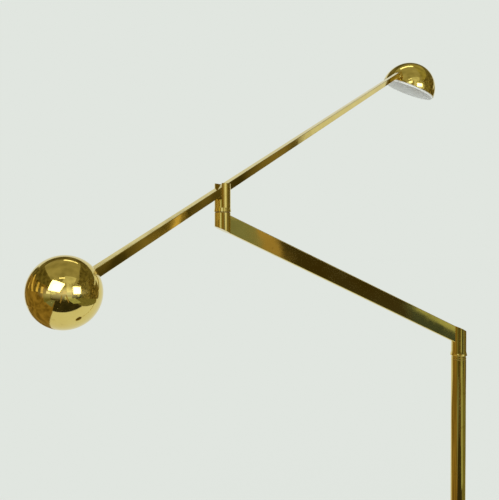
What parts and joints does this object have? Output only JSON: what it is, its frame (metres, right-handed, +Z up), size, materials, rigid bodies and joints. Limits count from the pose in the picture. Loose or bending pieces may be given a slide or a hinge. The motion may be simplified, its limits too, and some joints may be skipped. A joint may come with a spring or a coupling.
{
  "type": "counterbalance floor lamp",
  "caption": "Polished brass floor lamp: round post on a heavy base, slanted swinging arm, and a balanced square rod on a fork with a ball counterweight and a swivelling dome shade.",
  "frame": {"origin": "centre of the round base on the floor", "axes": "+Z up along the post, the arm runs from the post towards -X, and the front of the base with its switch faces -Y"},
  "size_m": [0.8542, 0.7592, 1.5964],
  "materials": {
    "polished_brass": "polished",
    "cast_iron": "matte",
    "steel": "satin",
    "felt": "matte",
    "black_plastic": "satin",
    "fibre": "matte",
    "lead_rubber": "matte",
    "white_enamel": "satin",
    "bulb_glass": "matte"
  },
  "bodies": {
    "root": {"base_pad": "felt", "base_weight": "cast_iron", "base_cover": "polished_brass", "base_washer": "steel", "base_nut": "steel", "post_stud": "steel", "cable_gland": "black_plastic", "switch_body": "black_plastic", "switch_bezel": "polished_brass", "post_tube": "polished_brass", "post_foot": "polished_brass", "post_collar": "polished_brass", "post_bush": "polished_brass", "pivot_washer": "polished_brass", "post_lead": "lead_rubber"},
    "button": {"switch_button": "polished_brass"},
    "arm": {"arm_hub": "polished_brass", "arm_pivot_stud": "steel", "arm_pivot_nut": "steel", "arm_tube": "polished_brass", "arm_tip_hub": "polished_brass", "tip_cap": "polished_brass", "arm_lead": "lead_rubber", "fork_washer": "fibre"},
    "fork": {"fork": "polished_brass", "fork_stud": "steel", "fork_nut": "steel", "tilt_pin": "polished_brass", "tilt_washers": "fibre"},
    "rod": {"rod_tube": "polished_brass", "tilt_sleeve": "polished_brass", "counterweight_ball": "polished_brass", "ball_set_screw": "steel", "rod_lead": "lead_rubber", "rod_eye": "polished_brass"},
    "knuckle": {"head_clevis": "polished_brass", "knuckle_pin": "polished_brass", "shade_washer": "polished_brass", "shade_nut": "steel"},
    "shade": {"dome_shade": "polished_brass", "reflector": "white_enamel", "lamp_bracket": "steel", "holder_screw": "steel", "lamp_holder": "black_plastic", "bulb_cap": "steel", "bulb_glass": "bulb_glass"}
  },
  "joints": [
    {"name": "arm_swing", "type": "hinge", "parent": "root", "child": "arm", "pos_m": [0, 0, 1], "axis": [0, 0, 1], "range_deg": [-170, 170]},
    {"name": "fork_swivel", "type": "hinge", "parent": "arm", "child": "fork", "pos_m": [-0.355, 0, 1.204], "axis": [0, 0, 1], "range_deg": [-190, 110]},
    {"name": "rod_tilt", "type": "hinge", "parent": "fork", "child": "rod", "pos_m": [-0.355, 0, 1.23444], "axis": [0.66, -0.7513, 0], "range_deg": [-60, 11]},
    {"name": "head_tilt", "type": "hinge", "parent": "rod", "child": "knuckle", "pos_m": [0.16289, 0.45497, 1.55443], "axis": [0.66, -0.7513, 0], "range_deg": [-45, 45]},
    {"name": "shade_swivel", "type": "hinge", "parent": "knuckle", "child": "shade", "pos_m": [0.16289, 0.45497, 1.55443], "axis": [0.7181, 0.6308, -0.294], "range_deg": [-150, 150]},
    {"name": "switch_press", "type": "slide", "parent": "root", "child": "button", "axis": [0, 0, -1], "range_m": [0, 0.003], "stiffness_N_per_m": 600, "springref_m": -0.002}
  ]
}
